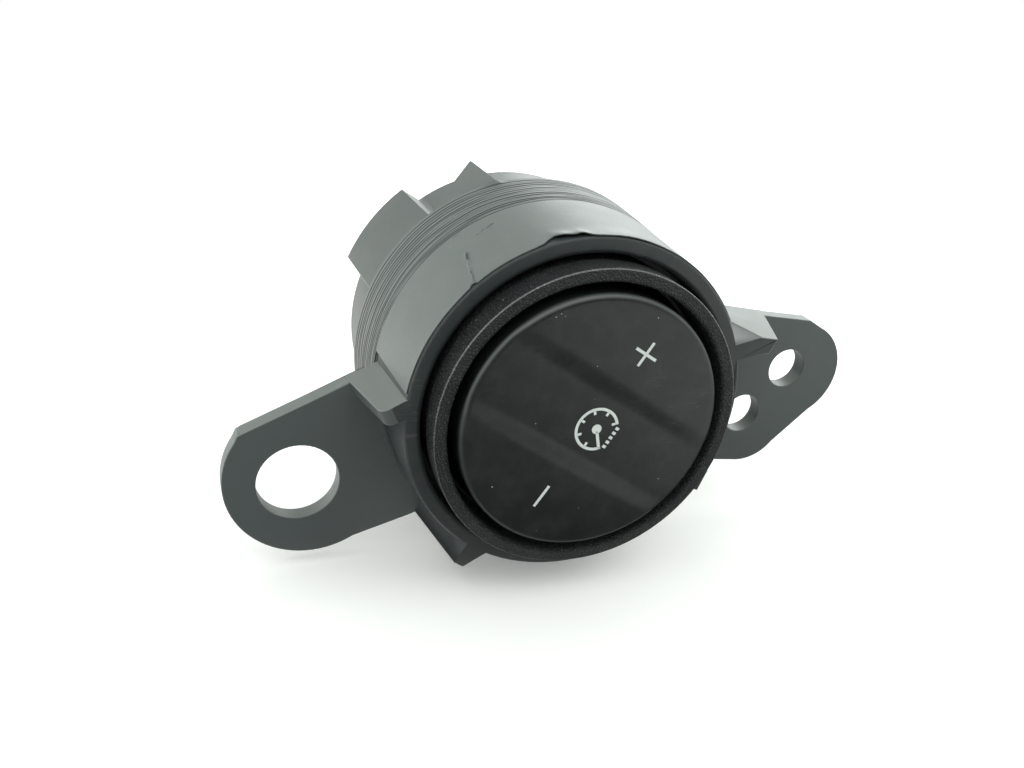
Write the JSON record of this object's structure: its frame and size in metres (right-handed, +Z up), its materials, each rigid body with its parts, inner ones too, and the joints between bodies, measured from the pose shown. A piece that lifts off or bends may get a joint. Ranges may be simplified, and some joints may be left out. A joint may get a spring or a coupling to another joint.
{
  "type": "rocker dimmer switch",
  "caption": "Round instrument-light dimmer switch: a dished rocker button with plus and minus signs in a bezel ring, on a taped drum with a mounting ear at each side.",
  "frame": {"origin": "on the drum's axis, in the plane of the barrel's front rim, where a dash trim's hole slides over the bezel ring and seats", "axes": "-Y out of the button's face, +Y to the connector, +Z up as the switch stands in the picture; the rocker's plus and minus signs lie on a line turned 32.5 degrees from Z towards X"},
  "size_m": [0.0846, 0.0407, 0.0466],
  "materials": {
    "black_moulding": "fine satin",
    "rear_moulding": "satin",
    "tape_film": "smooth satin film",
    "tape_band": "wound edges, satin",
    "ring_grain": "fine leather grain",
    "inner_black": "matte",
    "button_black": "soft satin",
    "clear_plastic": "clear",
    "white_moulding": "matte white",
    "spring_steel": "bright wire",
    "stem_black": "matte",
    "switch_body": "satin",
    "lamp_white": "translucent",
    "board_green": "solder mask",
    "chip_black": "matte",
    "can_aluminium": "bright",
    "tinned": "tin plated",
    "screw_steel": "zinc plated"
  },
  "bodies": {
    "case": {"housing": "black_moulding", "rear_case": "rear_moulding", "tape_film": "tape_film", "tape_band": "tape_band", "bezel_ring": "ring_grain", "bearing_frame": "inner_black", "spring_plus": "spring_steel", "spring_minus": "spring_steel", "switch_plus": "switch_body", "switch_minus": "switch_body", "light_tube": "white_moulding", "lamp": "lamp_white", "circuit_board": "board_green", "driver_chip": "chip_black", "capacitor": "can_aluminium", "resistor": "chip_black", "connector_header": "stem_black", "contact_pins": "tinned", "board_screw_left": "screw_steel", "board_screw_right": "screw_steel"},
    "rocker": {"rocker_cap": "button_black", "rocker_lens": "clear_plastic", "rocker_carrier": "white_moulding"},
    "plus_plunger": {"plunger_plus": "inner_black", "stem_plus": "stem_black"},
    "minus_plunger": {"plunger_minus": "inner_black", "stem_minus": "stem_black"}
  },
  "joints": [
    {"name": "rocker_hinge", "type": "hinge", "parent": "case", "child": "rocker", "pos_m": [0, 0.005, 0], "axis": [-0.8434, 0, 0.5373], "range_deg": [-2.5, 2.5], "stiffness_Nm_per_rad": 0.3},
    {"name": "plus_slide", "type": "slide", "parent": "case", "child": "plus_plunger", "axis": [0, 1, 0], "range_m": [-0.0004, 0.0004]},
    {"name": "minus_slide", "type": "slide", "parent": "case", "child": "minus_plunger", "axis": [0, 1, 0], "range_m": [-0.0004, 0.0004]}
  ],
  "couplings": [
    {"joint": "plus_slide", "follows": "rocker_hinge", "m_per_rad": 0.009},
    {"joint": "minus_slide", "follows": "rocker_hinge", "m_per_rad": -0.009}
  ]
}
